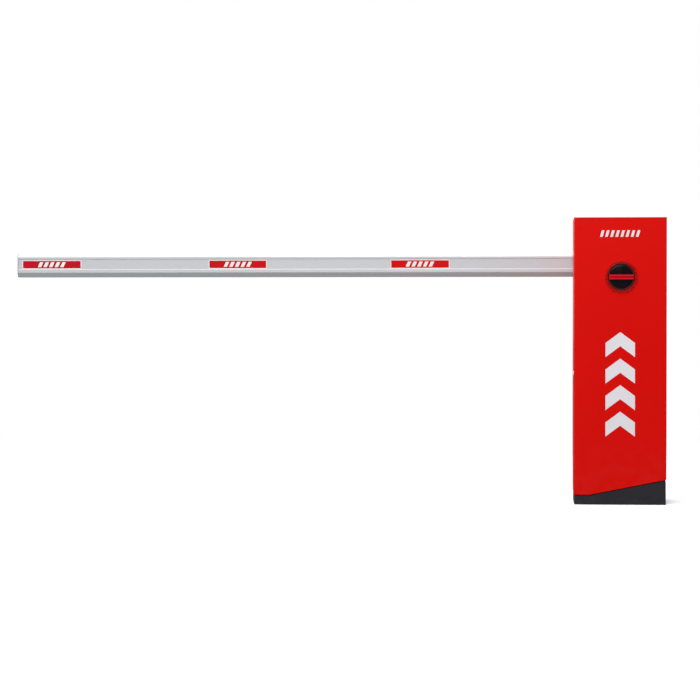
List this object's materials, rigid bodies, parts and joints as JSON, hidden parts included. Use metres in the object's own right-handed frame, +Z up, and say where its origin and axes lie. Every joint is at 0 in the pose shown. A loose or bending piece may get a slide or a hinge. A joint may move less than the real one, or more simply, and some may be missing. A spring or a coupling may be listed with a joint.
{
  "type": "parking barrier gate",
  "caption": "Upright slanted-plinth cabinet with a round signal lamp, its lifting drive inside, and a hinged octagonal boom on the rear side.",
  "frame": {"origin": "centre of the cabinet's footprint, on the floor", "axes": "+Z up, -Y towards the door, -X along the closed boom"},
  "size_m": [2.49, 0.378, 1.06],
  "materials": {
    "red_paint": "gloss powder coat",
    "charcoal_paint": "fine-texture powder coat",
    "primed_steel": "dark primer",
    "zinc_steel": "bright zinc plating",
    "ground_steel": "ground and oiled",
    "spring_steel": "oiled spring wire",
    "cast_iron": "grey machine enamel",
    "anodised_aluminium": "satin anodised",
    "black_plastic": "moulded, fine texture",
    "grey_plastic": "moulded, fine texture",
    "black_rubber": "matt",
    "red_lens": "translucent moulded",
    "smoked_lens": "gloss",
    "circuit_board": "solder mask"
  },
  "bodies": {
    "cabinet": {"base_plate": "primed_steel", "plinth": "charcoal_paint", "cable_gland": "black_plastic", "anchor_bolt_1": "zinc_steel", "anchor_bolt_2": "zinc_steel", "anchor_bolt_3": "zinc_steel", "anchor_bolt_4": "zinc_steel", "chassis": "zinc_steel", "bearing_shelf": "zinc_steel", "stop_buffer_down": "black_rubber", "stop_buffer_up": "black_rubber", "bearing_front": "cast_iron", "bearing_rear": "cast_iron", "limit_switch_down": "grey_plastic", "limit_switch_up": "grey_plastic", "gearbox": "cast_iron", "motor": "cast_iron", "balance_spring": "spring_steel", "spring_plug_lower": "zinc_steel", "spring_bracket": "zinc_steel", "tension_bolt": "zinc_steel", "equipment_plate": "zinc_steel", "control_box": "grey_plastic", "control_box_cover": "grey_plastic", "circuit_breaker": "grey_plastic", "capacitor": "grey_plastic", "cabinet_body": "red_paint", "top_cover": "red_paint", "door_gasket": "black_rubber", "shaft_seal": "black_rubber", "hinge_upper": "zinc_steel", "hinge_lower": "zinc_steel", "lock_case": "zinc_steel"},
    "boom_arm": {"main_shaft": "ground_steel", "rocker": "zinc_steel", "rod_pin_upper": "ground_steel", "yoke_pin": "ground_steel", "limit_cam_down": "black_plastic", "limit_cam_up": "black_plastic", "boom_bracket": "charcoal_paint", "clamp_plate": "charcoal_paint", "boom": "anodised_aluminium", "boom_tip_cap": "grey_plastic", "boom_tail_cap": "grey_plastic"},
    "crank_arm": {"crank": "zinc_steel", "rod_pin_lower": "ground_steel"},
    "rod": {"connecting_rod": "zinc_steel"},
    "yoke": {"spring_yoke": "zinc_steel", "spring_plug_upper": "zinc_steel"},
    "wheel": {"hand_wheel": "black_plastic"},
    "door": {"front_door": "red_paint", "door_strike": "zinc_steel", "lamp_housing": "black_plastic", "lamp_bezel": "red_lens", "lamp_lens": "smoked_lens", "lamp_bar": "red_lens", "lamp_board": "circuit_board"},
    "lock": {"lock_cam": "zinc_steel"},
    "toggle": {"breaker_toggle": "black_plastic"}
  },
  "joints": [
    {"name": "boom_raise", "type": "hinge", "parent": "cabinet", "child": "boom_arm", "pos_m": [0, 0, 0.895], "axis": [0, 1, 0], "range_deg": [0, 90]},
    {"name": "crank_turn", "type": "hinge", "parent": "cabinet", "child": "crank_arm", "pos_m": [0, 0, 0.535], "axis": [0, 1, 0], "range_deg": [0, 90]},
    {"name": "rod_swing", "type": "hinge", "parent": "crank_arm", "child": "rod", "pos_m": [-0.04243, 0, 0.49257], "axis": [0, 1, 0], "range_deg": [-90, 0]},
    {"name": "yoke_pull", "type": "slide", "parent": "cabinet", "child": "yoke", "axis": [0, 0, -1], "range_m": [0, 0.0637], "deforming": ["balance_spring"]},
    {"name": "hand_wheel_turn", "type": "hinge", "parent": "cabinet", "child": "wheel", "pos_m": [0, 0.0677, 0.25], "axis": [0, 0, 1], "range_deg": [0, 3600]},
    {"name": "door_swing", "type": "hinge", "parent": "cabinet", "child": "door", "pos_m": [0.165, -0.1255, 0.5], "axis": [0, 0, 1], "range_deg": [0, 90]},
    {"name": "lock_turn", "type": "hinge", "parent": "cabinet", "child": "lock", "pos_m": [-0.17, -0.1, 0.48], "axis": [-1, 0, 0], "range_deg": [0, 90]},
    {"name": "breaker_switch", "type": "hinge", "parent": "cabinet", "child": "toggle", "pos_m": [-0.11, -0.11, 0.5425], "axis": [1, 0, 0], "range_deg": [0, 60]}
  ],
  "couplings": [
    {"joint": "crank_turn", "follows": "boom_raise", "ratio": 1},
    {"joint": "rod_swing", "follows": "boom_raise", "ratio": -1},
    {"joint": "yoke_pull", "follows": "boom_raise", "m_per_rad": 0.0405},
    {"joint": "hand_wheel_turn", "follows": "boom_raise", "ratio": 40}
  ]
}
